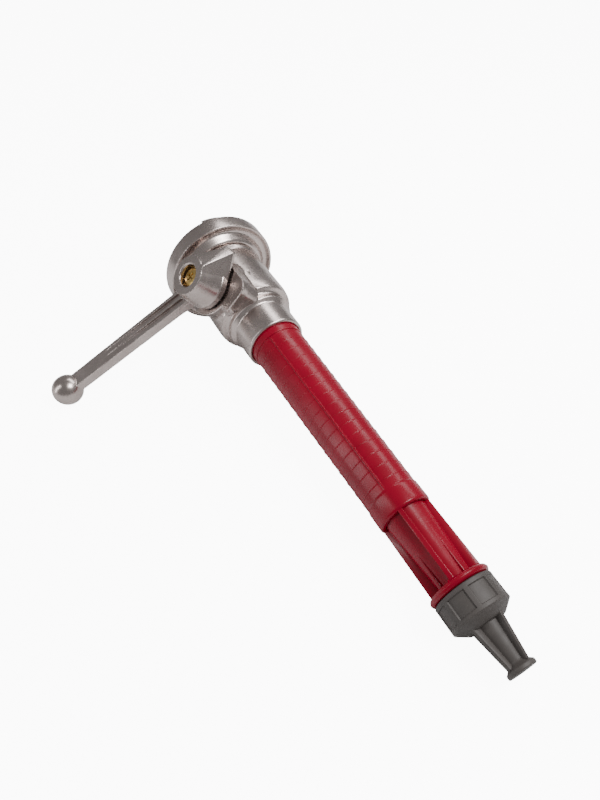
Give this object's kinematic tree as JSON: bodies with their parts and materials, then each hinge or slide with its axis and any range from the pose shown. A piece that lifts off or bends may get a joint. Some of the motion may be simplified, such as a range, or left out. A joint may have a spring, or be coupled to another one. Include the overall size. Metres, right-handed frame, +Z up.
{
  "type": "fire hose nozzle",
  "caption": "Multipurpose fire hose branch with a claw coupling inlet, lever-operated ball valve, ribbed plastic barrel and screw-on tapered mouthpiece.",
  "frame": {"origin": "centre of the coupling ring's inlet face, on the waterway axis", "axes": "+X along the waterway towards the jet outlet, +Z up when the branch lies on the ground on its coupling rim, its lever knob and its tip nut; the spindle leans back from +Z and the lever reaches down towards -Y"},
  "size_m": [0.417, 0.2219, 0.1052],
  "materials": {
    "cast_alloy": "polished cast aluminium with fine scratches",
    "red_plastic": "glossy moulded plastic",
    "grey_plastic": "matt moulded plastic",
    "brass": "turned, slightly tarnished",
    "steel": "turned",
    "chrome": "polished",
    "seal_rubber": "black moulded rubber",
    "seat_plastic": "white low-friction plastic"
  },
  "bodies": {
    "branch": {"coupling_head": "cast_alloy", "coupling_lock_screw": "steel", "coupling_gasket": "seal_rubber", "body_seal": "seal_rubber", "valve_body": "cast_alloy", "outlet_seat": "seat_plastic", "inlet_seat": "seat_plastic", "seat_retainer": "brass", "retainer_o_ring": "seal_rubber", "thrust_washer": "seat_plastic", "gland_bush": "brass", "stop_pin": "steel", "barrel": "red_plastic", "barrel_o_ring": "seal_rubber", "jet_tube": "grey_plastic", "tube_spider": "grey_plastic", "swirl_insert": "grey_plastic", "outlet_nozzle": "brass"},
    "lever_and_ball": {"lever": "cast_alloy", "lever_washer": "brass", "spring_washer": "steel", "lever_screw": "brass", "spindle": "brass", "spindle_o_rings": "seal_rubber", "valve_ball": "chrome", "spray_baffle": "brass"},
    "tip_seal": {"mouthpiece_gasket": "seal_rubber"},
    "tip": {"mouthpiece": "grey_plastic"}
  },
  "joints": [
    {"name": "lever_turn", "type": "hinge", "parent": "branch", "child": "lever_and_ball", "pos_m": [0.0554, 0, 0], "axis": [0, -0.7361, 0.6769], "range_deg": [-90, 90]},
    {"name": "tip_travel", "type": "slide", "parent": "branch", "child": "tip_seal", "axis": [1, 0, 0], "range_m": [0, 0.012]},
    {"name": "tip_turn", "type": "hinge", "parent": "tip_seal", "child": "tip", "pos_m": [0.36, 0, 0], "axis": [1, 0, 0], "range_deg": [0, 2160]}
  ],
  "couplings": [
    {"joint": "tip_travel", "follows": "tip_turn", "m_per_rad": 0.00031831}
  ]
}
